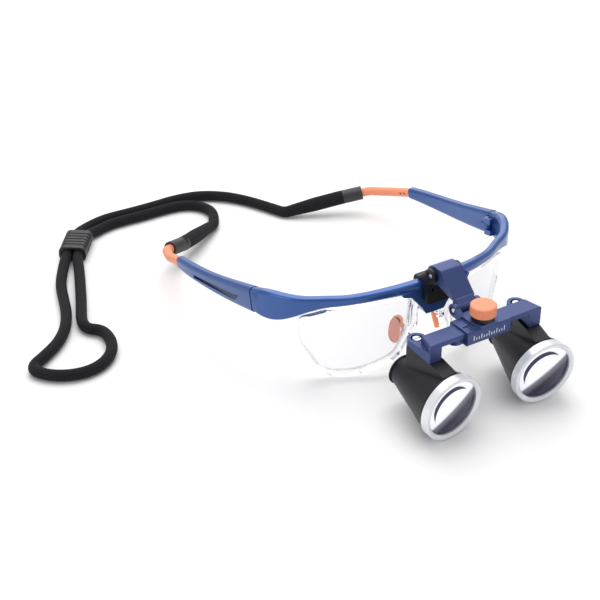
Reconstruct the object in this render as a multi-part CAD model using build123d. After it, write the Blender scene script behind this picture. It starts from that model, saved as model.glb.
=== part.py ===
from build123d import *
import os
from math import asin, cos, degrees, radians, sin, tan

os.makedirs("parts", exist_ok=True)

# Flip-up dental loupes, in millimetres. Everything is laid out from a datum
# midway between the two objective faces, with +X to the wearer's left, +Y towards
# the wearer and +Z up, and is moved as one to the rest position at the end.
# Side parts are drawn for the wearer's right (-X) and mirrored for the left.

# Optics
OBJECTIVE = (-27.5, -3.2, -0.2)
TOE_IN = 5.2
DROOP = 4.0
RING_R = 16.9
RING_LENGTH = 4.9
BARREL_LENGTH = 38.2
EYE_R = 7.9
LENS_R = 14.7

# Loupe bar
PIVOT_X, PIVOT_Y = -30.0, 24.9
EAR_TOP, EAR_BOTTOM, EAR_R = 25.0, 21.7, 4.6
BAR_HALF, BAR_FRONT, BAR_BACK = 12.7, 8.6, 22.4
BAR_TOP, BAR_BOTTOM = 30.0, 22.8
STRIP_FRONT, STRIP_BACK = 10.4, 20.4
STRIP_TOP, STRIP_BOTTOM = 29.0, 26.6
STRIP_END, STRIP_INNER = -33.1, -12.2
LEG_TIP = 19.4
KNOB_Y = 14.2
KNOB_R = 6.3
KNOB_BOTTOM, KNOB_TOP = 33.8, 39.3
PINION_PITCH_R = 2.25
TOOTH_PITCH = 2 * 3.14159265 * PINION_PITCH_R / 9
RACK_TIP = 5.7
RACK_BOTTOM, RACK_TOP = 26.7, 28.8

# Flip-up hinges: (y, z) of each pin, both along X
UPPER_PIN = (45.0, 41.5)
LOWER_PIN = (27.0, 31.5)
PIN_R = 1.2
ARM_HALF = 6.15
RUN = 0.05
SCREW_X, SCREW_Z = (-5.0, 5.0), 32.4

# Spectacle frame
BROW_RADIUS = 94.0
BROW_FRONT = 50.0
LENS_FRONT = 51.5
LENS_TILT = 5.0
LENS_THICK = 2.0
RIM_WIDTH = 2.4
HINGE = (-70.8, 97.2, 22.9)
TEMPLE_PITCH = 10.7
CANT_RIGHT, CANT_LEFT = 6.0, 0.0

# Strap
CORD_R = 3.1
FLOOR = -17.06
CORD_Z = FLOOR + CORD_R + 0.02
BEAD = (-101.5, 255.5)
BEAD_LENGTH, BEAD_WIDTH, BEAD_HEIGHT = 21.0, 15.6, 8.8
STRAND_GAP = 3.15
BEAD_CORD_Z = CORD_Z + 0.9

# Rest position: floor at Z = 0, middle of the body's length at Y = 0
REST = Pos(0, -120.03, -FLOOR)


def save(shape, name):
    export_step(REST * shape, f"parts/{name}.step")


def left(shape):
    return mirror(shape, about=Plane.YZ)


def save_pair(shape, name):
    save(shape, f"{name}_right")
    save(left(shape), f"{name}_left")


def box(x, y, z):
    """A box between the low and high values of each pair."""
    size = [abs(p[1] - p[0]) for p in (x, y, z)]
    middle = [(p[0] + p[1]) / 2 for p in (x, y, z)]
    return Pos(*middle) * Box(*size)


def turned(*points):
    """A solid turned about Y from (radius, y) points."""
    return revolve(make_face(Polyline(*points, close=True)), Axis.Y)


def along_x(y, z, radius, low, high):
    return Pos((low + high) / 2, y, z) * Rot(Y=90) * Cylinder(radius, high - low)


def upright(x, y, radius, low, high):
    return Pos(x, y, (low + high) / 2) * Cylinder(radius, high - low)


def side_plate(points, low, high):
    """A plate drawn by its (y, z) outline, between two x values."""
    face = make_face(Polyline(*[(low, y, z) for y, z in points], close=True))
    return extrude(face, amount=high - low, dir=(1, 0, 0))


def tube(path, radius):
    """A round bar along a path."""
    section = Plane(origin=path @ 0, z_dir=path % 0) * Circle(radius)
    return sweep(section, path=path)


# ---------------------------------------------------------------- barrels
barrel_at = Pos(*OBJECTIVE) * Rot(Z=TOE_IN) * Rot(X=DROOP)


def barrel_cavity():
    return turned(
        (0, -1), (14.75, -1), (14.75, 7.4), (13.9, 9.0), (6.0, 34.9), (6.4, 34.9), (6.4, 41), (0, 41)
    )


def saddle():
    """The flat-sided rib on top of a barrel that carries it under the arm's leg."""
    back = 4.0
    outline = [
        (back, 2), (back, EAR_BOTTOM - 0.3), (0, EAR_BOTTOM - 0.3), (STRIP_FRONT - PIVOT_Y, LEG_TIP - 0.3),
        (-23.4, 16.6), (-23.4, 2),
    ]
    rib = side_plate(outline, -4.1, 4.1)
    rib = chamfer(rib.edges().filter_by(Axis.Z).sort_by(Axis.Y)[-2:], 1.6)
    return Pos(PIVOT_X, PIVOT_Y, 0) * Rot(Z=TOE_IN) * rib


def barrel_shell():
    outside = turned(
        (0, 1.4), (15.2, 1.4), (15.2, RING_LENGTH), (16.3, RING_LENGTH), (16.3, 5.8), (7.3, 36.6),
        (7.3, 37.25), (0, 37.25),
    )
    front = barrel_at * Pos(0, RING_LENGTH - 20, 0) * Box(60, 40, 60)
    shell = barrel_at * outside + (saddle() - front) - barrel_at * barrel_cavity()
    return shell - upright(PIVOT_X, PIVOT_Y, 1.3, 14.5, 22)


def pivot_screw():
    shank = upright(PIVOT_X, PIVOT_Y, 1.42, 21.4, 23.6)
    thread = upright(PIVOT_X, PIVOT_Y, 1.25, 16.0, 21.4)
    head = upright(PIVOT_X, PIVOT_Y, 2.0, 23.5, 24.9)
    slot = box((PIVOT_X - 3, PIVOT_X + 3), (PIVOT_Y - 0.25, PIVOT_Y + 0.25), (24.3, 25.2))
    return shank + thread + head - slot


def objective_ring():
    return barrel_at * turned(
        (15.7, 0), (16.4, 0), (RING_R, 0.5), (RING_R, RING_LENGTH - 0.3), (16.6, RING_LENGTH - 0.05),
        (15.25, RING_LENGTH - 0.05), (15.25, 1.35), (14.72, 1.35), (14.72, 2.1), (14.4, 2.1), (14.4, 1.0),
    )


def lens_cap(radius, vertex, edge):
    """Half way round a spherical face, from its vertex on the axis to its edge."""
    sag = edge - vertex
    sphere = (radius**2 + sag**2) / (2 * sag)
    half = asin(radius / abs(sphere)) / 2
    return (abs(sphere) * sin(half), vertex + sphere * (1 - cos(half)))


def lens_solid(radius, front, front_edge, back_edge, back):
    """A lens about Y with two spherical faces, each from its vertex to its edge."""
    outline = (
        ThreePointArc((0, front), lens_cap(radius, front, front_edge), (radius, front_edge))
        + Line((radius, front_edge), (radius, back_edge))
        + ThreePointArc((radius, back_edge), lens_cap(radius, back, back_edge), (0, back))
        + Line((0, back), (0, front))
    )
    return barrel_at * revolve(make_face(outline), Axis.Y)


save_pair(barrel_shell(), "barrel_shell")
save_pair(pivot_screw(), "pivot_screw")
save_pair(objective_ring(), "objective_ring")
save_pair(lens_solid(LENS_R, 0.6, 2.2, 5.4, 8.0), "objective_lens")
save_pair(lens_solid(6.35, 35.6, 35.0, 36.85, 36.2), "eyepiece_lens")
save_pair(barrel_at * turned(
    (5.4, 36.9), (6.35, 36.9), (6.35, 37.3), (EYE_R - 0.2, 37.3), (EYE_R, 37.5), (EYE_R, 38.0),
    (EYE_R - 0.2, BARREL_LENGTH), (6.2, BARREL_LENGTH), (5.4, 37.5),
), "eyepiece_ring")
save_pair(barrel_at * turned((13.9, 5.7), (14.7, 5.42), (14.7, 7.4), (13.9, 7.4)), "objective_spacer")
save_pair(barrel_at * turned((7.8, 21.0), (10.17, 21.0), (9.87, 22.0), (7.8, 22.0)), "field_stop")


# ---------------------------------------------------------------- loupe bar
def rack(front_side):
    """The toothed finger of a right-hand arm, behind or in front of the pinion."""
    facing = -1 if front_side else 1
    back = STRIP_FRONT if front_side else STRIP_BACK
    root = KNOB_Y + facing * (PINION_PITCH_R + 0.55)
    tip = KNOB_Y + facing * (PINION_PITCH_R - 0.35)
    finger = box((STRIP_INNER - 0.1, RACK_TIP), (root, back), (RACK_BOTTOM, RACK_TOP))
    shift = TOOTH_PITCH / 2 if front_side else 0
    for i in range(-6, 4):
        x = i * TOOTH_PITCH + shift
        tooth = [(x - 0.42, root), (x + 0.42, root), (x + 0.14, tip), (x - 0.14, tip)]
        if x + 0.42 < RACK_TIP:
            face = make_face(Polyline(*tooth, close=True))
            finger += Pos(0, 0, RACK_BOTTOM) * extrude(face, amount=RACK_TOP - RACK_BOTTOM)
    return finger


def plan_prism(points, low, high):
    """A block drawn by its (x, y) outline, between two heights."""
    return Pos(0, 0, low) * extrude(make_face(Polyline(*points, close=True)), amount=high - low)


def rack_arm(front_side):
    strip_plan = [(STRIP_END, STRIP_FRONT), (STRIP_INNER, STRIP_FRONT), (STRIP_INNER, STRIP_BACK)]
    strip = plan_prism(strip_plan + [(-30.9, STRIP_BACK)], STRIP_BOTTOM, STRIP_TOP)
    strip = chamfer(strip.edges().group_by(Axis.Z)[-1], 0.35)
    head = plan_prism(
        [(STRIP_END, STRIP_FRONT), (-26.4, STRIP_FRONT), (-26.4, STRIP_BACK), (-30.9, STRIP_BACK)],
        EAR_TOP - 0.1, STRIP_TOP - 0.5,
    )
    leg_side = [(STRIP_FRONT, EAR_TOP), (PIVOT_Y, EAR_TOP), (PIVOT_Y, EAR_BOTTOM), (STRIP_FRONT, LEG_TIP)]
    leg_plan = [(STRIP_END, STRIP_FRONT), (-26.4, STRIP_FRONT), (-26.4, PIVOT_Y), (PIVOT_X - EAR_R, PIVOT_Y)]
    leg = side_plate(leg_side, -36, -26.4) & plan_prism(leg_plan, 15, 26)
    ear = upright(PIVOT_X, PIVOT_Y, EAR_R, EAR_BOTTOM, EAR_TOP)
    bore = upright(PIVOT_X, PIVOT_Y, 1.42 + RUN, 20, 26)
    head_room = upright(PIVOT_X, PIVOT_Y, 2.9, 23.4, 30)
    return strip + head + leg + ear + rack(front_side) - bore - head_room


save(rack_arm(False), "rack_arm_right")
save(left(rack_arm(True)), "rack_arm_left")


def bar_housing():
    body = box((-BAR_HALF, BAR_HALF), (BAR_FRONT, BAR_BACK), (BAR_BOTTOM, BAR_TOP))
    body = chamfer(body.edges().filter_by(Axis.X), 0.6)
    deck = upright(0, KNOB_Y, 7.0, 29.5, 31.4) & box((-9, 9), (BAR_FRONT + 0.2, 30), (29, 32))
    deck += box((-7.0, 7.0), (KNOB_Y, 23.2), (29.5, 31.4))
    guides = Pos(0, 15.4, BAR_BOTTOM) * extrude(SlotOverall(37, 7), amount=STRIP_BOTTOM - 0.1 - BAR_BOTTOM)
    housing = body + deck + guides
    for side in (-1, 1):
        low, high = sorted((side * 5.6, side * 7.7))
        ear = side_plate([(20.4, 28.2), (20.4, 31.4), (27, 34.8), (27, 28.2)], low, high)
        housing += ear + along_x(*LOWER_PIN, 3.3, low, high)
    channel = box((-20, 20), (STRIP_FRONT - 0.1, STRIP_BACK + 0.1), (STRIP_BOTTOM - 0.1, STRIP_TOP + 0.1))
    window = box((-11.6, -7.5), (10.4, 14.6), (29.55, 30.5))
    shaft_bore = upright(0, KNOB_Y, 2.0 + RUN, 28, 33)
    foot_bore = upright(0, KNOB_Y, 1.4 + RUN, 22, 28)
    pin_bore = along_x(*LOWER_PIN, PIN_R + 0.01, -9, 9)
    sockets = along_x(*LOWER_PIN, 2.2, 7.1, 9) + along_x(*LOWER_PIN, 2.2, -9, -7.1)
    return housing - channel - window - shaft_bore - foot_bore - pin_bore - sockets


def hinge_pin(pin, half):
    return chamfer(along_x(*pin, PIN_R, -half, half).edges(), 0.25)


def pinion_shaft():
    shaft = upright(0, KNOB_Y, 2.0, 29.15, 36.0)
    gear = upright(0, KNOB_Y, PINION_PITCH_R - 0.6, RACK_BOTTOM - 0.15, 29.15)
    foot = upright(0, KNOB_Y, 1.4, 22.75, RACK_BOTTOM - 0.15) + upright(0, KNOB_Y, 1.0, 22.1, 22.75)
    foot += upright(0, KNOB_Y, 1.4, 21.7, 22.1)
    collar = upright(0, KNOB_Y, 5.6, 31.5, 33.75)
    base, tip = PINION_PITCH_R - 0.7, PINION_PITCH_R + 0.35
    for i in range(9):
        tooth = [(base, -0.45), (tip, -0.16), (tip, 0.16), (base, 0.45)]
        blade = extrude(make_face(Polyline(*tooth, close=True)), amount=RACK_TOP - RACK_BOTTOM)
        gear += Pos(0, KNOB_Y, RACK_BOTTOM) * Rot(Z=90 + 20 + 40 * i) * blade
    return shaft + gear + foot + collar


def pinion_clip():
    """The spring clip in the groove of the pinion's foot."""
    ring = upright(0, KNOB_Y, 2.7, 22.15, 22.7) - upright(0, KNOB_Y, 1.02, 22, 23)
    return ring - box((-0.7, 0.7), (KNOB_Y - 3, KNOB_Y), (22, 23))


def adjust_knob():
    knob = upright(0, KNOB_Y, KNOB_R, KNOB_BOTTOM, KNOB_TOP)
    knob = chamfer(knob.edges(), 0.5)
    for i in range(40):
        groove = Pos(0, KNOB_Y, 36.6) * Rot(Z=9 * i) * Pos(KNOB_R + 0.12, 0, 0) * Cylinder(0.32, 3.8)
        knob -= groove
    return knob - upright(0, KNOB_Y, 2.01, 33, 36.2)


save(bar_housing(), "bar_housing")
save(hinge_pin(LOWER_PIN, 7.6), "lower_hinge_pin")
save(pinion_shaft(), "pinion_shaft")
save(pinion_clip(), "pinion_clip")
save(adjust_knob(), "adjust_knob")


# ---------------------------------------------------------------- flip-up arm and clamp
def flip_arm():
    y, z = UPPER_PIN
    outline = [(y, z), (y, z + 4.9), (39.6, 46.3), (28.2, 35.4), (30.9, 35.2), (41.5, 38.0)]
    plate = side_plate(outline, -ARM_HALF, ARM_HALF)
    bend = plate.edges().filter_by(Axis.X).sort_by_distance((0, 39.6, 46.3))[0]
    plate = fillet(bend, 1.8)
    knuckle = along_x(y, z, 4.9, -ARM_HALF, ARM_HALF)
    neck = side_plate([(24.9, 33.6), (28.4, 36.0), (30.9, 36.0), (29.8, 31.0)], -5.3, 5.3)
    tongue = along_x(*LOWER_PIN, 3.0, -5.3, 5.3)
    arm = plate + knuckle + neck + tongue
    return arm - along_x(y, z, PIN_R + RUN, -9, 9) - along_x(*LOWER_PIN, PIN_R + RUN, -9, 9)


def clamp_block():
    y, z = UPPER_PIN
    shield = Pos(0, 49.7, 30.3) * Rot(X=90) * extrude(RectangleRounded(17.2, 11.6, 3.0), amount=3.5)
    cover = box((-8.2, 8.2), (46.3, 55.0), (35.95, 37.2))
    back_corners = cover.edges().filter_by(Axis.Z).sort_by(Axis.Y)[-2:]
    cover = chamfer(cover.edges().filter_by(Axis.X) + back_corners, 0.4)
    block = shield + cover + box((-8.6, 8.6), (46.3, 49.7), (33, 36.2))
    for side in (-1, 1):
        low, high = sorted((side * 6.4, side * 8.6))
        ear = side_plate([(46.3, 36), (y - 3.6, z), (y + 3.6, z), (54, 37.2), (54, 36)], low, high)
        block += ear + along_x(y, z, 3.7, low, high)
    block -= along_x(y, z, 5.3, -6.4, 6.4)
    block -= along_x(y, z, PIN_R + 0.01, -9, 9)
    block -= along_x(y, z, 2.3, 8.0, 9) + along_x(y, z, 2.3, -9, -8.0)
    for x in SCREW_X:
        block -= Pos(x, 48, SCREW_Z) * Rot(X=90) * Cylinder(1.0, 6)
    return block


def rear_jaw():
    plate = Pos(0, 58.4, 32.4) * Rot(X=90) * extrude(RectangleRounded(15.6, 7.2, 1.5), amount=2.5)
    for x in SCREW_X:
        plate -= Pos(x, 57, SCREW_Z) * Rot(X=90) * Cylinder(1.15, 6)
    return plate


def clamp_screws():
    both = []
    for x in SCREW_X:
        shank = Pos(x, 53.3, SCREW_Z) * Rot(X=90) * Cylinder(0.98, 10.6)
        head = Pos(x, 59.0, SCREW_Z) * Rot(X=90) * Cylinder(1.9, 1.2)
        socket = Pos(x, 59.5, SCREW_Z) * Rot(X=90) * extrude(RegularPolygon(0.9, 6), amount=1, both=True)
        both.append(shank + head - socket)
    return Compound(children=both)


save(flip_arm(), "flip_arm")
save(clamp_block(), "clamp_block")
save(rear_jaw(), "clamp_rear_jaw")
save(hinge_pin(UPPER_PIN, 8.4), "upper_hinge_pin")
save(clamp_screws(), "clamp_screws")


# ---------------------------------------------------------------- brow frame
def section(x, y, z, height, thick, heading, roll=0.0):
    """A rounded upright section facing along a heading in the XY plane, in degrees from -X."""
    along = Vector(-cos(radians(heading)), sin(radians(heading)), -roll)
    plane = Plane(origin=(x, y, z), z_dir=along, x_dir=(sin(radians(heading)), cos(radians(heading)), 0))
    return plane * RectangleRounded(thick, height, min(height, thick) * 0.36)


def hinge_place(cant):
    """The hinge's own frame: Z along the pin, Y along the temple."""
    return Pos(*HINGE) * Rot(X=-TEMPLE_PITCH) * Rot(Y=cant)


def knuckle(low, high, reach):
    """A hinge knuckle about its own Z, with a root that reaches along Y."""
    middle = (low + high) / 2
    ring = Pos(0, 0, middle) * Cylinder(2.3, high - low)
    low_y, high_y = sorted((0, reach))
    return ring + box((-3.4, 2.3), (low_y, high_y), (low, high))


def brow_half(cant):
    bar = [(0, 5.6, 33.1, 5.4), (-10, 5.6, 33.0, 5.4), (-20, 5.3, 32.6, 5.1), (-30, 4.9, 31.9, 4.8)]
    bar += [(-39, 4.7, 30.9, 4.6), (-46, 4.9, 30.1, 4.5), (-53, 5.7, 29.5, 4.5)]
    middle_y = BROW_FRONT + BROW_RADIUS
    stations = []
    for x, height, z, thick in bar:
        heading = degrees(asin(-x / BROW_RADIUS))
        reach = BROW_RADIUS - thick / 2
        place = (-reach * sin(radians(heading)), middle_y - reach * cos(radians(heading)))
        stations.append(section(*place, z, height, thick, heading))
    stations += [
        section(-60.3, 73.2, 28.2, 8.4, 4.6, 41.0),
        section(-66.6, 79.2, 26.2, 12.8, 4.9, 51.0),
        section(-71.4, 86.6, 24.9, 15.6, 5.3, 66.0),
        section(-73.7, 92.6, 24.4, 14.4, 5.6, 79.0),
        section(-74.4, 100.0, 23.4, 12.8, 5.8, 88.0),
    ]
    half = loft(stations)
    there = hinge_place(cant)
    half -= there * box((-20, 20), (-0.15, 30), (-20, 20))
    half -= there * Cylinder(2.55, 3.4)
    half += there * knuckle(1.7, 4.6, -4.5) + there * knuckle(-4.6, -1.7, -4.5)
    return half - there * Cylinder(0.91, 12) - there * box((-4, 3), (-0.1, 5), (-1.7, 1.7))


def brow_frame():
    right_edge = [(-20.5, 32.0), (-19.5, 30.3), (-14.6, 28.9), (-8.1, 21.3), (-5.4, 16.9)]
    bridge_outline = right_edge + [(-x, z) for x, z in reversed(right_edge)]
    face = make_face(Polyline(*[(x, 49.95, z) for x, z in bridge_outline], close=True))
    bridge = extrude(face, amount=4.2, dir=(0, 1, 0))
    bridge = fillet(bridge.edges().filter_by(Axis.Y).sort_by(Axis.Z)[:4], 1.2)
    frame = brow_half(CANT_RIGHT) + left(brow_half(CANT_LEFT)) + bridge
    for x in SCREW_X:
        frame -= Pos(x, 53, SCREW_Z) * Rot(X=90) * Cylinder(1.15, 8)
    return frame


def hinge_pin_upright(cant):
    return hinge_place(cant) * Cylinder(0.9, 9.8)


brow = brow_frame()
save(brow, "brow_frame")
save(hinge_pin_upright(CANT_RIGHT), "temple_hinge_pin_right")
save(left(hinge_pin_upright(CANT_LEFT)), "temple_hinge_pin_left")


# ---------------------------------------------------------------- spectacle lenses
OUTLINE = [
    (-13.2, 27.9), (-31.0, 27.7), (-50.0, 25.9), (-61.6, 20.0), (-60.8, 5.5), (-51.8, -12.4),
    (-36.0, -12.4), (-19.0, -5.8), (-13.0, 8.0),
]
CORNERS = [3.0, 60.0, 12.0, 4.5, 20.0, 11.0, 30.0, 9.0, 20.0]


def curved(thick, proud):
    """The lens's curved sheet, its front standing proud of the lens surface."""
    there = Pos(0, LENS_FRONT + BROW_RADIUS, 30) * Rot(X=LENS_TILT)
    outer = there * Cylinder(BROW_RADIUS + proud, 160)
    inner = there * Cylinder(BROW_RADIUS + proud - thick, 170)
    return outer - inner


def lens_face(grow):
    points = [(x, 40, z) for x, z in OUTLINE]
    wire = FilletPolyline(*points, radius=CORNERS, close=True)
    face = make_face(wire)
    return offset(face, amount=grow) if grow else face


def lens_block(grow):
    return extrude(lens_face(grow), amount=60, dir=(0, 1, 0))


def rim():
    return (lens_block(RIM_WIDTH) - lens_block(0)) & curved(3.2, 0.6)


def spectacle_lens():
    return lens_block(-0.06) & curved(LENS_THICK, 0)


save_pair(rim() - brow, "clear_rim")
save_pair(spectacle_lens(), "spectacle_lens")


# ---------------------------------------------------------------- nose bridge and pads
PAD_AT = Pos(-12.9, 64.4, 2.8) * Rot(Z=28) * Rot(Y=14)


def pad_plate():
    return PAD_AT * Pos(-0.9, 0, 0) * Rot(Y=90) * extrude(Ellipse(6.4, 3.1), amount=0.9, both=True)


def nose_bridge():
    outline = Pos(0, 13.4) * (RectangleRounded(19.6, 24, 8) - Pos(0, -5) * RectangleRounded(13.2, 26, 6))
    arch = Pos(0, 57.6, 0) * Rot(X=90) * extrude(outline, amount=2.8)
    arch -= box((-20, 20), (50, 60), (-10, 8))
    half = tube(FilletPolyline((-8.2, 56.4, 9.5), (-9.2, 60.4, 8.2), (-13.7, 63.7, 4.4), radius=1.5), 1.2)
    half += pad_plate()
    return arch + half + left(half)


def nose_pad():
    blank = Rot(Y=90) * extrude(Ellipse(7.4, 3.9), amount=1.3, both=True)
    blank = fillet(blank.edges().sort_by(Axis.X)[-1:], 1.1)
    return PAD_AT * Pos(1.4, 0, 0) * blank - nose_bridge()


save(nose_bridge(), "nose_bridge")
save_pair(nose_pad(), "nose_pad")


# ---------------------------------------------------------------- temples
TIP_JOINT = Vector(-76.1, 172.6, 8.6)
GRIP_START = Vector(-65.1, 207.5, -3.2)
GRIP_END = Vector(-52.2, 214.6, -6.6)
STRAP_RIGHT = ((-20.8, 237.5, CORD_Z), (-17.3, 243.6, CORD_Z))
STRAP_LEFT = ((-22.9, 228.0, CORD_Z), (-19.1, 237.0, CORD_Z))
GRIP_DIR = (GRIP_END - GRIP_START).normalized()
SLOT_FRONT, SLOT_BACK = 108.7, 152.6


def temple_slot(depth, grow):
    """The long recess in a temple's outer side, tapering to the rear."""
    fall = tan(radians(TEMPLE_PITCH))
    low, high = SLOT_FRONT - grow, SLOT_BACK + grow
    start_z = 19.0
    end_z = start_z - (high - low) * fall
    outline = [
        (low, start_z + 1.5 + grow), (high, end_z + 0.8 + grow), (high, end_z - 0.8 - grow),
        (low + 3.0, start_z - 2.2 - grow),
    ]
    return side_plate(outline, -90, depth)


def temple_arm(cant):
    stations = [
        section(-74.4, 94.0, 24.4, 13.4, 5.8, 87.0, 0.19),
        section(-75.6, 115.0, 19.2, 11.8, 5.5, 87.0, 0.20),
        section(-76.6, 135.0, 14.9, 9.9, 5.0, 88.0, 0.20),
        section(-77.0, 155.0, 11.4, 8.2, 5.0, 90.0, 0.19),
        section(*TIP_JOINT, 6.4, 5.4, 93.0, 0.26),
    ]
    arm = loft(stations)
    there = hinge_place(cant)
    arm -= there * box((-20, 20), (-30, 0.15), (-20, 20))
    for z in (-3.3, 3.3):
        arm -= there * Pos(0, 0, z) * Cylinder(2.55, 3.4)
    arm -= there * box((-3.7, 4), (-0.2, 0.3), (-8, 8))
    arm += there * knuckle(-1.5, 1.5, 4.5)
    arm -= there * Cylinder(0.9 + RUN, 14)
    return arm - temple_slot(-77.5, 0)


def slot_inlay():
    return temple_slot(-77.5, -0.05) & box((-78.3, -77.5), (80, 180), (-20, 60))


def temple_tip():
    bend = GRIP_START - GRIP_DIR * 4.0
    start = TIP_JOINT + Vector(0.02, 0.25, -0.06)
    path = FilletPolyline(start, (-73.9, 190.0, 2.4), bend, GRIP_END - GRIP_DIR * 2, radius=[25, 10])
    return tube(path, 2.6)


def strap_grip():
    path = Line(GRIP_START, GRIP_END)
    bore = Line(GRIP_START - GRIP_DIR, GRIP_END - GRIP_DIR * 1.9)
    return tube(path, 4.1) - tube(bore, 2.65)


def strap_end(bend, end):
    path = FilletPolyline(GRIP_END - GRIP_DIR * 1.5, bend, end, radius=8)
    return tube(path, CORD_R) - tube(Line(GRIP_START, GRIP_END), 4.11)


for name, cant, place in (("right", CANT_RIGHT, lambda s: s), ("left", CANT_LEFT, left)):
    save(place(temple_arm(cant)), f"temple_arm_{name}")
save_pair(slot_inlay(), "temple_inlay")
save_pair(temple_tip(), "temple_tip")
save_pair(strap_grip(), "strap_grip")
save(strap_end(*STRAP_RIGHT), "strap_end_right")
save(left(strap_end(*STRAP_LEFT)), "strap_end_left")


# ---------------------------------------------------------------- strap
BEAD_DIR = Vector(-0.59, -0.81, 0).normalized()
BEAD_SIDE = Vector(0.81, -0.59, 0).normalized()


def in_bead(along, side):
    """A point of a strand in the bead, along its length from the middle and to one side."""
    flat = BEAD_DIR * along + BEAD_SIDE * side * STRAND_GAP
    return (BEAD[0] + flat.X, BEAD[1] + flat.Y, BEAD_CORD_Z)


def cord(name, points):
    """A limp cord as straight runs joined by the largest arcs they allow."""
    points = [Vector(*p) for p in points]
    runs = [(b - a).length for a, b in zip(points, points[1:])]
    radii = []
    for a, b, c in zip(points, points[1:], points[2:]):
        turn = (b - a).get_angle(c - b)
        shorter = min((b - a).length, (c - b).length)
        radii.append(0.45 * shorter / tan(radians(turn / 2)))
    path = FilletPolyline(*points, radius=radii)
    solid = tube(path, CORD_R)
    ideal = 3.14159265 * CORD_R**2 * path.length
    print(f"{name}: {path.length:.0f} mm, runs {min(runs):.1f} to {max(runs):.1f},")
    print(f"  radii {' '.join(f'{r:.1f}' for r in radii)}, volume ratio {solid.volume / ideal:.4f}")
    save(solid, name)


def on_floor(points):
    return [(x, y, CORD_Z) for x, y in points]


cord("strap_cord_right", on_floor([
    (-17.25, 243.69), (-13.0, 251.1), (-15.8, 262.4), (-24.4, 269.4), (-36.5, 270.6), (-50.0, 270.2),
    (-62.0, 270.8), (-73.5, 270.6), (-83.6, 267.2),
]) + [in_bead(-13.0, 1.02), in_bead(-5.5, 1)])
cord("strap_cord_left", on_floor([
    (19.06, 237.09), (15.5, 245.52), (9.8, 256.6), (2.4, 266.4), (-9.5, 275.2), (-24.5, 278.2),
    (-41.0, 277.4), (-57.0, 277.5), (-72.3, 278.4), (-86.0, 274.6),
]) + [in_bead(-13.0, -1.02), in_bead(-5.5, -1)])
cord("strap_loop", [in_bead(5.5, -1), in_bead(13.0, -1.02)] + on_floor([
    (-119.4, 234.6), (-126.9, 220.5), (-131.6, 205.5), (-136.6, 190.6), (-143.4, 177.4), (-152.0, 167.4),
    (-161.5, 160.6), (-174.0, 152.9), (-167.2, 141.6), (-155.0, 135.4), (-143.0, 136.2), (-133.0, 143.4),
    (-127.4, 154.5), (-126.9, 166.6), (-133.6, 172.0), (-132.6, 181.0), (-127.0, 193.0), (-121.2, 206.3),
    (-115.5, 219.8), (-110.1, 233.0),
]) + [in_bead(13.0, 1.02), in_bead(5.5, 1)])


def cord_slider():
    profile = Pos(0, 0) * RectangleRounded(BEAD_WIDTH, BEAD_HEIGHT, 3.4)
    body = extrude(profile, amount=BEAD_LENGTH / 2, both=True)
    for i in (-2, -1, 0, 1, 2):
        outer = RectangleRounded(BEAD_WIDTH + 2, BEAD_HEIGHT + 2, 4.4)
        inner = RectangleRounded(BEAD_WIDTH - 0.8, BEAD_HEIGHT - 0.8, 3.0)
        ring = extrude(outer - inner, amount=0.5, both=True)
        body -= Pos(0, 0, 3.2 * i) * ring
    hole = SlotOverall(2 * (STRAND_GAP + CORD_R) + 0.9, 2 * CORD_R + 0.7)
    lift = BEAD_CORD_Z - (FLOOR + BEAD_HEIGHT / 2)
    body -= Pos(0, lift, 0) * extrude(hole, amount=BEAD_LENGTH, both=True)
    there = Plane(origin=(BEAD[0], BEAD[1], FLOOR + BEAD_HEIGHT / 2), x_dir=BEAD_SIDE, z_dir=BEAD_DIR)
    return there * body


save(cord_slider(), "cord_slider")
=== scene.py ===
import math

import bmesh
import bpy
from mathutils import Matrix, Vector


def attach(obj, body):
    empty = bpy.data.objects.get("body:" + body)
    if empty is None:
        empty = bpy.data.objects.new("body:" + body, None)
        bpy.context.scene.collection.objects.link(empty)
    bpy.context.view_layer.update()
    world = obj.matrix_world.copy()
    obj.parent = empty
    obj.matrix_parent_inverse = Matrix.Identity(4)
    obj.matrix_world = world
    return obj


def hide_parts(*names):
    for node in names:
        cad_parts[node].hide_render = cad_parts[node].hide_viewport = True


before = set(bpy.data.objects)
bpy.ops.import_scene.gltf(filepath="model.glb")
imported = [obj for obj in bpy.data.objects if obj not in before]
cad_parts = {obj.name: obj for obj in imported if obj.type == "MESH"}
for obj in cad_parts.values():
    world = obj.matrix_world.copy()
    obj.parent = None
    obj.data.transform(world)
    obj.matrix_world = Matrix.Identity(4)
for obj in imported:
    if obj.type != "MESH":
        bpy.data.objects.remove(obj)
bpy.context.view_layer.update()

# Lengths and places below are in millimetres, in the layout that the CAD is drawn in. Its origin lies between
# the fronts of the barrels, +Y runs back to the wearer and +Z up. Of a mirrored pair, the right one is given.
MM = 0.001
REST_HEIGHT = 17.06
SHIFT = Vector((0, -120.03, REST_HEIGHT))
MIRROR = {"right": 1, "left": -1}


def at(x, y, z):
    """A point of the layout in millimetres, as metres in the row frame."""
    return (Vector((x, y, z)) + SHIFT) * MM


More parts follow.
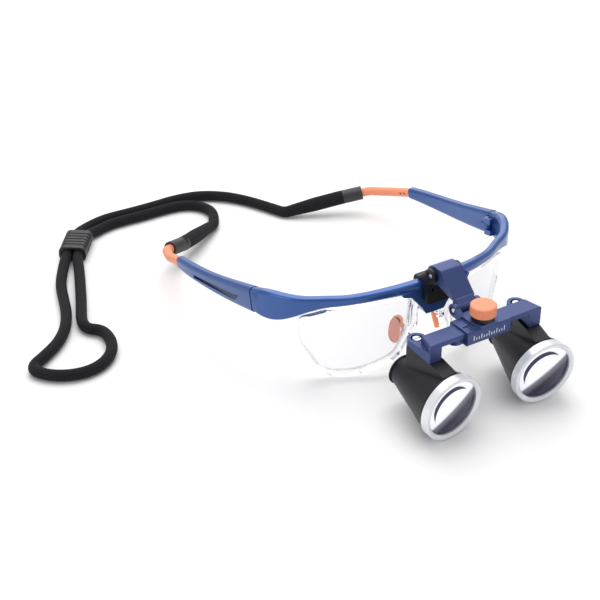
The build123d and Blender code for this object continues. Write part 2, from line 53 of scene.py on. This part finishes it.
# ---------------------------------------------------------------- materials
class Surface:
    """A new material, with a short call for each kind of node that the finishes are made of."""

    def __init__(self, name):
        self.material = bpy.data.materials.new(name)
        self.material.use_nodes = True
        self.nodes = self.material.node_tree.nodes
        coords = self.nodes.new("ShaderNodeTexCoord")
        self.place = coords.outputs["Object"]
        self.uv = coords.outputs["UV"]

    def feed(self, socket, given):
        """Feed an input from an output, a number, or a colour or vector of three numbers."""
        if isinstance(given, bpy.types.NodeSocket):
            self.material.node_tree.links.new(given, socket)
        elif socket.type == "RGBA":
            socket.default_value = (*given, 1)
        else:
            socket.default_value = given

    def node(self, kind, output, **inputs):
        """Add a node, feed its inputs by name, with _ for a space, and return one output."""
        node = self.nodes.new("ShaderNode" + kind)
        for name, given in inputs.items():
            self.feed(node.inputs[name.replace("_", " ")], given)
        return node.outputs[output]

    def maths(self, operation, *inputs):
        node = self.nodes.new("ShaderNodeMath")
        node.operation = operation
        for socket, given in zip(node.inputs, inputs):
            self.feed(socket, given)
        return node.outputs[0]

    def mix(self, factor, first, second):
        """A blend of two colours. A Mix node names its inputs alike for every type, so these go by number."""
        node = self.nodes.new("ShaderNodeMix")
        node.data_type = "RGBA"
        for index, given in ((0, factor), (6, first), (7, second)):
            self.feed(node.inputs[index], given)
        return node.outputs[2]

    def spread(self, source, low, high, start=0.0, end=1.0):
        """The range from start to end, mapped on to the range from low to high."""
        return self.node("MapRange", 0, Value=source, From_Min=start, From_Max=end, To_Min=low, To_Max=high)

    def noise(self, vector, scale, detail=3.0):
        return self.node("TexNoise", "Fac", Vector=vector, Scale=scale, Detail=detail)

    def stretched(self, factors):
        return self.node("Mapping", 0, Vector=self.place, Scale=factors)

    def parts(self, vector):
        """The X, Y and Z of a vector."""
        node = self.nodes.new("ShaderNodeSeparateXYZ")
        self.feed(node.inputs[0], vector)
        return node.outputs

    def bump(self, height, strength, depth, **normal):
        """The shading normal of a relief, its depth in millimetres."""
        return self.node("Bump", 0, Height=height, Strength=strength, Distance=depth * MM, **normal)

    def finish(self, **sockets):
        """Feed the shader's own inputs, and hand the material over."""
        shader = self.nodes["Principled BSDF"]
        for name, given in sockets.items():
            self.feed(shader.inputs[name.replace("_", " ")], given)
        return self.material


DRIFT_SCALE = 60        # broad changes of colour
GRAIN_DEPTH = 0.03      # mm
BEVEL_SAMPLES = 4
EDGE_LIGHT_RANGE = (0.80, 0.99)     # how far the rounded normal agrees with the flat one, from a full painted highlight through to none
PATCH_SCALE = 350       # the painted edge highlight comes and goes along an edge
PATCHES = (0.35, 0.65)


def grainy(name, colour, other, rough, metal=0.0, scale=900, bump=0.12, edge=0.25, edge_highlight=None, **sockets):
    """A solid surface with fine grain: colour drifting to another, uneven roughness, a relief and soft edges.

    edge is the radius in millimetres that sharp edges are shaded with, and edge_highlight the colour of a
    painted highlight that lies on them in patches.
    """
    s = Surface(name)
    grain = s.noise(s.place, scale)
    base = s.mix(s.noise(s.place, DRIFT_SCALE, 2.0), colour, other)
    rounded = s.node("Bevel", 0, Radius=edge * MM)
    rounded.node.samples = BEVEL_SAMPLES
    # Painted highlight on sharp edges: where the rounded normal turns from the flat one, the colour lightens,
    # in patches.
    if edge_highlight:
        flat = s.nodes.new("ShaderNodeNewGeometry").outputs["Normal"]
        match = s.nodes.new("ShaderNodeVectorMath")
        match.operation = "DOT_PRODUCT"
        s.feed(match.inputs[0], rounded)
        s.feed(match.inputs[1], flat)
        lit_edge = s.spread(match.outputs["Value"], 1.0, 0.0, *EDGE_LIGHT_RANGE)
        patchy = s.spread(s.noise(s.place, PATCH_SCALE, 2.0), 0.0, 1.0, *PATCHES)
        base = s.mix(s.maths("MULTIPLY", lit_edge, patchy), base, edge_highlight)
    return s.finish(
        Base_Color=base, Roughness=s.spread(grain, *rough), Metallic=metal,
        Normal=s.bump(grain, bump, GRAIN_DEPTH, Normal=rounded), **sockets,
    )


STITCHES_ROUND = 12
STITCH_LENGTH = 1.15    # mm
STITCH_SLANT = 5.0      # radians of the wave along the cord, by which a stitch's edge leads its middle
STITCH_CROWN = 1.3      # how steeply a stitch falls away to its edges
FUZZ_SCALE, FUZZ = 2600, 0.5
KNIT_STRENGTH, KNIT_DEPTH = 0.8, 0.3


def knitted(name, dark, light):
    """Knitted cord: rows of small chevron stitches, from a UV map of metres along and turns round."""
    s = Surface(name)
    along, turns, _ = s.parts(s.uv)
    wale = s.maths("FRACT", s.maths("MULTIPLY", turns, STITCHES_ROUND))
    off_middle = s.maths("ABSOLUTE", s.maths("SUBTRACT", wale, 0.5))
    row = s.maths("MULTIPLY", along, 2 * math.pi / (STITCH_LENGTH * MM))
    slanted = s.maths("ADD", row, s.maths("MULTIPLY", off_middle, STITCH_SLANT))
    wave = s.spread(s.maths("SINE", slanted), 0.0, 1.0, -1.0, 1.0)
    crown = s.maths("SUBTRACT", 1.0, s.maths("MULTIPLY", off_middle, STITCH_CROWN))
    fuzz = s.maths("MULTIPLY", s.noise(s.place, FUZZ_SCALE), FUZZ)
    height = s.maths("ADD", s.maths("MULTIPLY", wave, crown), fuzz)
    # The colour follows the stitch relief: painted shade darkens the valleys between stitches, and the fuzz
    # adds random tone.
    return s.finish(
        Base_Color=s.mix(height, dark, light), Normal=s.bump(height, KNIT_STRENGTH, KNIT_DEPTH),
        Roughness=0.85, Specular_IOR_Level=0.25, Sheen_Weight=0.02,
    )


SMEAR_SCALE, SMEAR_ROUGHNESS = 120, 0.03
SMEARS = (0.4, 0.8)
SCRATCH_SCALE, SCRATCH_STRETCH = 700, (1, 1, 14)
HAIRLINE = (0.02, 0.01)  # strength, and depth in mm, of the relief on glass


def clear(name, tint, ior, film=None):
    """Clear moulding or glass with faint smears and hairline scratches.

    film is how much a thin lens veils what is behind it. Without it the surface refracts.
    """
    s = Surface(name)
    smears = s.spread(s.noise(s.place, SMEAR_SCALE), 0.0, SMEAR_ROUGHNESS, *SMEARS)
    scratches = s.noise(s.stretched(SCRATCH_STRETCH), SCRATCH_SCALE)
    see_through = {"Transmission_Weight": 1.0} if film is None else {"Alpha": film}
    return s.finish(
        Base_Color=tint, IOR=ior, Roughness=smears, Normal=s.bump(scratches, *HAIRLINE), **see_through,
    )


# The painted reflection in an objective, in millimetres about the middle of its face. The sky fills the upper
# part, and meets the dark part at a slanted, slightly curved edge. A dark arc lies in the sky, just inside
# the rim.
# A painted haze of light spreads below the sky's edge, and a painted glow lightens the dark part towards the
# rim.
FACE_X, FACE_Z = 27.5, -0.2
SLANT_COS, SLANT_SIN = 0.84, 0.54
EDGE_CURVE = 0.004
SKY_EDGE = (-0.9, 0.8)
BLOOM_EDGE = (-5.5, 0.4)
RIM_GLOW, RIM_GLOW_EDGE = 0.5, (10.0, 14.0)
ARC_RADIUS, ARC_WIDEST, ARC_SOFTNESS = 11.0, 1.4, 0.35
ARC_GROWS = (2.0, 10.0)
SKY, ARC = (0.88, 0.89, 0.95), (0.015, 0.02, 0.06)
DEPTHS, VIOLET, SKY_BLOOM = (0.008, 0.004, 0.036), (0.045, 0.035, 0.10), (0.30, 0.29, 0.34)
SKY_STRENGTH = 0.32
STREAK_SCALE, STREAK_STRETCH, STREAK_ROUGHNESS = 260, (1, 1, 3), (0.02, 0.08)


def coated(side):
    """Objective glass with a painted reflection: a glowing sky in the upper part, and a dark lower part with
    a violet coating.
    """
    s = Surface(f"coated_glass_{side}")
    maths = s.maths
    middle = at(-MIRROR[side] * FACE_X, 0, FACE_Z)
    place = s.parts(s.place)
    x = maths("MULTIPLY", maths("SUBTRACT", place[0], middle.x), 1 / MM)
    z = maths("MULTIPLY", maths("SUBTRACT", place[2], middle.z), 1 / MM)
    across = maths("ADD", maths("MULTIPLY", x, SLANT_COS), maths("MULTIPLY", z, SLANT_SIN))
    height = maths("ADD", maths("MULTIPLY", x, -SLANT_SIN), maths("MULTIPLY", z, SLANT_COS))
    height = maths("ADD", height, maths("MULTIPLY", maths("MULTIPLY", across, across), EDGE_CURVE))
    radius = maths("SQRT", maths("ADD", maths("MULTIPLY", x, x), maths("MULTIPLY", z, z)))
    # Painted light in the dark part: it lightens to violet towards the rim, and a pale haze spreads below the
    # sky's edge.
    dark = s.mix(s.spread(radius, 0.0, RIM_GLOW, *RIM_GLOW_EDGE), DEPTHS, VIOLET)
    dark = s.mix(s.spread(height, 0.0, 1.0, *BLOOM_EDGE), dark, SKY_BLOOM)
    off_arc = maths("ABSOLUTE", maths("SUBTRACT", radius, ARC_RADIUS))
    thickness = s.spread(height, 0.0, ARC_WIDEST, *ARC_GROWS)
    arc = s.spread(maths("SUBTRACT", thickness, off_arc), 0.0, 1.0, 0.0, ARC_SOFTNESS)
    sky = s.spread(height, 0.0, 1.0, *SKY_EDGE)
    base = s.mix(sky, dark, s.mix(arc, SKY, ARC))
    streak = s.noise(s.stretched(STREAK_STRETCH), STREAK_SCALE)
    return s.finish(
        # The painted reflection of the sky also glows, painted light that no lamp gives.
        Base_Color=base, Emission_Color=base, Emission_Strength=maths("MULTIPLY", sky, SKY_STRENGTH),
        Roughness=s.spread(streak, *STREAK_ROUGHNESS), Normal=s.bump(streak, *HAIRLINE), Coat_Weight=0.1,
        Specular_IOR_Level=0.35,
    )


def dress(material, *names):
    """Give CAD nodes their finish."""
    for name in names:
        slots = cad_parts[name].data.materials
        slots.clear()
        slots.append(material)


def both(*names):
    """The right and the left node of each name."""
    return [f"{name}_{side}" for name in names for side in MIRROR]


navy = grainy(
    "navy_anodised", (0.040, 0.062, 0.185), (0.048, 0.072, 0.205), (0.32, 0.44), 0.45,
    edge_highlight=(0.16, 0.20, 0.36),
)
blue = grainy(
    "frame_blue", (0.022, 0.080, 0.285), (0.030, 0.095, 0.32), (0.26, 0.36), 0.5, scale=1800, bump=0.03,
    edge=0.4, Coat_Weight=0.4,
)
black = grainy(
    "black_satin", (0.004, 0.004, 0.008), (0.008, 0.008, 0.014), (0.34, 0.46), edge_highlight=(0.035, 0.035, 0.04),
    Specular_IOR_Level=0.38,
)
black_plastic = grainy("black_plastic", (0.010, 0.010, 0.012), (0.018, 0.018, 0.02), (0.4, 0.55))
inlay_navy = grainy("inlay_navy", (0.010, 0.016, 0.055), (0.014, 0.022, 0.07), (0.4, 0.5))
silver = grainy(
    "satin_silver", (0.78, 0.79, 0.84), (0.84, 0.85, 0.89), (0.26, 0.36), 0.45, scale=2200, bump=0.03,
)
steel = grainy("bright_steel", (0.60, 0.60, 0.62), (0.68, 0.68, 0.70), (0.12, 0.26), 1.0, scale=1500)
orange = grainy(
    "orange_satin", (0.82, 0.27, 0.135), (0.86, 0.30, 0.155), (0.36, 0.48), edge_highlight=(0.90, 0.42, 0.28),
)
# The soft pads let light through. A weak glow stands in for it.
orange_rubber = grainy(
    "orange_rubber", (0.80, 0.24, 0.12), (0.84, 0.27, 0.14), (0.45, 0.6), Emission_Color=(0.84, 0.27, 0.14),
    Emission_Strength=0.3,
)
grey_rubber = grainy("grey_rubber", (0.018, 0.018, 0.021), (0.026, 0.026, 0.030), (0.4, 0.55), bump=0.3)
printed = grainy("white_print", (0.80, 0.80, 0.82), (0.86, 0.86, 0.88), (0.5, 0.6), edge=0.03)
knit = knitted("strap_knit", (0.0018, 0.0018, 0.003), (0.012, 0.0115, 0.016))
clear_plastic = clear("clear_plastic", (0.93, 0.93, 0.955), 1.42)
clear_lens = clear("clear_lens", (0.80, 0.80, 0.86), 1.5, film=0.13)
optic = clear("optical_glass", (0.85, 0.87, 0.95), 1.5)

dress(navy, "bar_housing", "flip_arm", *both("rack_arm"))
dress(blue, "brow_frame", *both("temple_arm"))
dress(black, "clamp_block", "clamp_rear_jaw", "pinion_shaft")
dress(black, *both("barrel_shell", "objective_spacer", "field_stop", "eyepiece_ring"))
dress(black_plastic, "cord_slider")
dress(inlay_navy, *both("temple_inlay"))
dress(silver, *both("objective_ring"))
dress(steel, "lower_hinge_pin", "upper_hinge_pin", "clamp_screws", "pinion_clip")
dress(steel, *both("temple_hinge_pin", "pivot_screw"))
dress(orange, "adjust_knob", *both("temple_tip"))
dress(orange_rubber, *both("nose_pad"))
dress(grey_rubber, *both("strap_grip"))
dress(clear_plastic, "nose_bridge", *both("clear_rim"))
dress(clear_lens, *both("spectacle_lens"))
dress(optic, *both("eyepiece_lens"))
for side in MIRROR:
    dress(coated(side), f"objective_lens_{side}")


# ---------------------------------------------------------------- print and rivets
def add_piece(name, bm, material, body, slot_name, *stands_for):
    """Make an object of a bmesh, riding on a body, in place of the CAD nodes that it stands for."""
    mesh = bpy.data.meshes.new(name)
    bm.to_mesh(mesh)
    bm.free()
    mesh.materials.append(material)
    piece = bpy.data.objects.new(name, mesh)
    bpy.context.scene.collection.objects.link(piece)
    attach(piece, body)
    if stands_for:
        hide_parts(*stands_for)
    return piece


# The printed scale on the front of the bar housing: plain ticks, every third one tall.
TICKS_EACH_WAY, TICK_PITCH, TICK_HALF_WIDTH = 6, 1.5, 0.2
TALL_TICK, SHORT_TICK = 2.6, 1.5
TICK_FRONT, TICK_BACK, TICK_FOOT = 8.57, 8.66, 25.0
bm = bmesh.new()
for k in range(-TICKS_EACH_WAY, TICKS_EACH_WAY + 1):
    top = TICK_FOOT + (TALL_TICK if k % 3 == 0 else SHORT_TICK)
    low = Vector((k * TICK_PITCH - TICK_HALF_WIDTH, TICK_FRONT, TICK_FOOT))
    high = Vector((k * TICK_PITCH + TICK_HALF_WIDTH, TICK_BACK, top))
    place = Matrix.Translation(at(*((low + high) / 2))) @ Matrix.Diagonal((*((high - low) * MM), 1))
    bmesh.ops.create_cube(bm, size=1, matrix=place)
add_piece("housing_scale_marks", bm, printed, "bar", "navy_metal")

# Two rivets on the inner side of each temple tip, at these fractions of its straight part.
TIP_START, TIP_BEND, TIP_R = Vector((-76.1, 172.6, 8.6)), Vector((-73.9, 190.0, 2.4)), 2.6
RIVETS_ALONG = (0.2, 0.38)
RIVET_R, RIVET_LENGTH, RIVET_SINK = 0.6, 0.5, 0.15
for side, sign in MIRROR.items():
    bm = bmesh.new()
    for along in RIVETS_ALONG:
        middle = TIP_START.lerp(TIP_BEND, along) + Vector((TIP_R - RIVET_SINK, 0, 0))
        place = Matrix.Translation(at(middle.x * sign, middle.y, middle.z))
        bmesh.ops.create_cone(
            bm, cap_ends=True, segments=20, radius1=RIVET_R * MM, radius2=RIVET_R * MM,
            depth=RIVET_LENGTH * MM, matrix=place @ Matrix.Rotation(math.pi / 2, 4, "Y"),
        )
    add_piece(f"tip_rivets_{side}", bm, black_plastic, f"temple_{side}", "black_plastic")

# ---------------------------------------------------------------- strap
CORD_R = 3.1            # of the CAD cord
KNIT_R = 3.0            # of the knitted tube that stands for it
CORD_Z = -REST_HEIGHT + CORD_R + 0.02
CORD_STEP, SLEEVE_STEP = 0.8, 0.6
SPLINE_STEPS = 24
SIDES_ROUND = 24

# The slider's middle, its long direction, and the direction across from one bore to the other.
BEAD = Vector((-101.5, 255.5, 0))
BEAD_DIR = Vector((-0.59, -0.81, 0)).normalized()
BEAD_SIDE = Vector((0.81, -0.59, 0)).normalized()
BORE_OFFSET, BORE_LIFT = 3.15, 0.9


def in_bead(along, side):
    """A point in one of the slider's bores or just outside it. The side is 1 or -1, or nearly."""
    p = BEAD + BEAD_DIR * along + BEAD_SIDE * side * BORE_OFFSET
    return (p.x, p.y, CORD_Z + BORE_LIFT)


def on_floor(points):
    return [(x, y, CORD_Z) for x, y in points]


def centreline(name, points):
    """The smooth line of a cord's route, as points read from its NURBS spline."""
    curve = bpy.data.curves.new(name + "_route", "CURVE")
    curve.dimensions = "3D"
    curve.resolution_u = SPLINE_STEPS
    spline = curve.splines.new("NURBS")
    spline.points.add(len(points) - 1)
    for point, place in zip(spline.points, points):
        point.co = (*at(*place), 1)
    spline.order_u = 3
    spline.use_endpoint_u = True
    holder = bpy.data.objects.new(name + "_route", curve)
    bpy.context.scene.collection.objects.link(holder)
    bpy.context.view_layer.update()
    mesh = bpy.data.meshes.new_from_object(holder)
    line = [v.co.copy() for v in mesh.vertices]
    bpy.data.objects.remove(holder)
    bpy.data.meshes.remove(mesh)
    return line


def even(line, step):
    """The same line with its points an even step apart, the step in millimetres."""
    lengths = [0.0]
    for a, b in zip(line, line[1:]):
        lengths.append(lengths[-1] + (b - a).length)
    count = max(2, round(lengths[-1] / (step * MM)))
    out, k = [], 0
    for i in range(count + 1):
        want = lengths[-1] * i / count
        while k < len(line) - 2 and lengths[k + 1] < want:
            k += 1
        t = (want - lengths[k]) / max(lengths[k + 1] - lengths[k], 1e-12)
        out.append(line[k].lerp(line[k + 1], t))
    return out


def tube(line, radius):
    """A closed tube round a line, with a UV map of metres along and turns round.

    radius gives the tube's radius in millimetres at a distance along it in metres.
    """
    bm = bmesh.new()
    uv = bm.loops.layers.uv.new("UVMap")
    angles = [2 * math.pi * k / SIDES_ROUND for k in range(SIDES_ROUND)]
    rings, along, run = [], [], 0.0
    normal = Vector((0, 0, 1))
    for i, p in enumerate(line):
        ahead = (line[min(i + 1, len(line) - 1)] - line[max(i - 1, 0)]).normalized()
        normal = (normal - ahead * normal.dot(ahead)).normalized()
        across = ahead.cross(normal)
        if i:
            run += (p - line[i - 1]).length
        along.append(run)
        r = radius(run) * MM
        rings.append([bm.verts.new(p + (normal * math.cos(a) + across * math.sin(a)) * r) for a in angles])
    for i, (ring, following) in enumerate(zip(rings, rings[1:])):
        for k in range(SIDES_ROUND):
            m = (k + 1) % SIDES_ROUND
            face = bm.faces.new((ring[k], ring[m], following[m], following[k]))
            face.smooth = True
            for loop, (u, v) in zip(face.loops, ((i, k), (i, k + 1), (i + 1, k + 1), (i + 1, k))):
                loop[uv].uv = (along[u], v / SIDES_ROUND)
    bm.faces.new(rings[0])
    bm.faces.new(list(reversed(rings[-1])))
    bmesh.ops.recalc_face_normals(bm, faces=bm.faces)
    return bm


# The free cords, by the CAD node of each: the route that part.py gives it.
ROUTES = {
    "strap_cord_right": on_floor([
        (-17.25, 243.69), (-13.0, 251.1), (-15.8, 262.4), (-24.4, 269.4), (-36.5, 270.6), (-50.0, 270.2),
        (-62.0, 270.8), (-73.5, 270.6), (-83.6, 267.2),
    ]) + [in_bead(-13.0, 1.02), in_bead(-5.5, 1)],
    "strap_cord_left": on_floor([
        (19.06, 237.09), (15.5, 245.52), (9.8, 256.6), (2.4, 266.4), (-9.5, 275.2), (-24.5, 278.2),
        (-41.0, 277.4), (-57.0, 277.5), (-72.3, 278.4), (-86.0, 274.6),
    ]) + [in_bead(-13.0, -1.02), in_bead(-5.5, -1)],
    "strap_loop": [in_bead(5.5, -1), in_bead(13.0, -1.02)] + on_floor([
        (-119.4, 234.6), (-126.9, 220.5), (-131.6, 205.5), (-136.6, 190.6), (-143.4, 177.4), (-152.0, 167.4),
        (-161.5, 160.6), (-174.0, 152.9), (-167.2, 141.6), (-155.0, 135.4), (-143.0, 136.2), (-133.0, 143.4),
        (-127.4, 154.5), (-126.9, 166.6), (-133.6, 172.0), (-132.6, 181.0), (-127.0, 193.0), (-121.2, 206.3),
        (-115.5, 219.8), (-110.1, 233.0),
    ]) + [in_bead(13.0, 1.02), in_bead(5.5, 1)],
}
for name, route in ROUTES.items():
    line = centreline(name, route)
    cord = tube(even(line, CORD_STEP), lambda run: KNIT_R)
    piece = add_piece(name.replace("strap", "knit"), cord, knit, "frame", "strap_knit", name)

# The stiff knitted sleeves behind the grips. Each starts inside its grip and bends down to lie on the floor.
GRIP_START = Vector((-65.1, 207.5, -3.2))
GRIP_END = Vector((-52.2, 214.6, -6.6))
INSIDE_GRIP = 0.3
SLEEVE_ENDS = {
    "right": (Vector((-20.8, 237.5, CORD_Z)), Vector((-17.3, 243.6, CORD_Z))),
    "left": (Vector((-22.9, 228.0, CORD_Z)), Vector((-19.1, 237.0, CORD_Z))),
}
LEAD_IN = 6
MOUTH_R, FLARE, FLARE_UNTIL = 3.9, 0.25, 1
FULL_R, FULL_UNTIL, TAPER = 4.15, 19, 0.05


def sleeve_radius(run):
    """Half the sleeve's thickness in millimetres: a short flare, a full stretch and a long taper."""
    mm = run / MM
    if mm < FLARE_UNTIL:
        return MOUTH_R + FLARE * mm
    if mm < FULL_UNTIL:
        return FULL_R
    return max(CORD_R, FULL_R - TAPER * (mm - FULL_UNTIL))


for side, sign in MIRROR.items():
    bend, end = SLEEVE_ENDS[side]
    lead = (bend - GRIP_END).normalized()
    mouth = GRIP_END.lerp(GRIP_START, INSIDE_GRIP)
    route = [mouth, GRIP_END, GRIP_END.lerp(bend, 0.5), bend - lead * LEAD_IN, bend, bend.lerp(end, 0.6), end]
    line = centreline(f"sleeve_{side}", [(p.x * sign, p.y, p.z) for p in route])
    sleeve = tube(even(line, SLEEVE_STEP), sleeve_radius)
    add_piece(f"knit_sleeve_{side}", sleeve, knit, f"temple_{side}", "strap_knit", f"strap_end_{side}")

# ---------------------------------------------------------------- floor, light and camera, sizes in metres
FLOOR_SIZE, FLOOR_DROP = 6, 0.0002
SOFTBOXES = {
    # name: place, size, power
    "top_softbox": ((0.1, 0.25, 1.0), 1.0, 8.5),
    "left_softbox": ((-0.9, -0.2, 0.45), 0.5, 1.5),
    "back_softbox": ((0.5, 0.9, 0.6), 0.7, 2.5),
}
WORLD_STRENGTH = 0.62
AZIMUTH, ELEVATION = math.radians(-32.3), math.radians(31.3)
CAMERA_AT = at(-369.7, -410.4, 379.8)
SENSOR_MM, LENS_MM, CLIP_START = 36, 84, 0.01

bpy.ops.mesh.primitive_plane_add(size=FLOOR_SIZE, location=(0, 0, -FLOOR_DROP))
floor = bpy.context.object
floor.name = "studio_floor"
pale = grainy("pale_floor", (0.86, 0.86, 0.86), (0.87, 0.87, 0.87), (0.7, 0.8), bump=0.0)
floor.data.materials.append(pale)

scene = bpy.context.scene
for name, (place, size, power) in SOFTBOXES.items():
    light = bpy.data.lights.new(name, "AREA")
    light.size = size
    light.energy = power
    lamp = bpy.data.objects.new(name, light)
    scene.collection.objects.link(lamp)
    lamp.location = place
    lamp.rotation_euler = (-Vector(place)).to_track_quat("-Z", "Y").to_euler()

world = bpy.data.worlds.new("studio")
world.use_nodes = True
sky = world.node_tree.nodes["Background"]
sky.inputs["Color"].default_value = (1, 1, 1, 1)
sky.inputs["Strength"].default_value = WORLD_STRENGTH
scene.world = world
scene.view_settings.view_transform = "Standard"

back = Vector((
    math.sin(AZIMUTH) * math.cos(ELEVATION), -math.cos(AZIMUTH) * math.cos(ELEVATION), math.sin(ELEVATION)
))
right = Vector((math.cos(AZIMUTH), math.sin(AZIMUTH), 0))
above = back.cross(right)
optics = bpy.data.cameras.new("studio_camera")
optics.sensor_width = SENSOR_MM
optics.lens = LENS_MM
optics.clip_start = CLIP_START
camera = bpy.data.objects.new("studio_camera", optics)
scene.collection.objects.link(camera)
camera.matrix_world = Matrix.Translation(CAMERA_AT) @ Matrix((right, above, back)).transposed().to_4x4()
scene.camera = camera
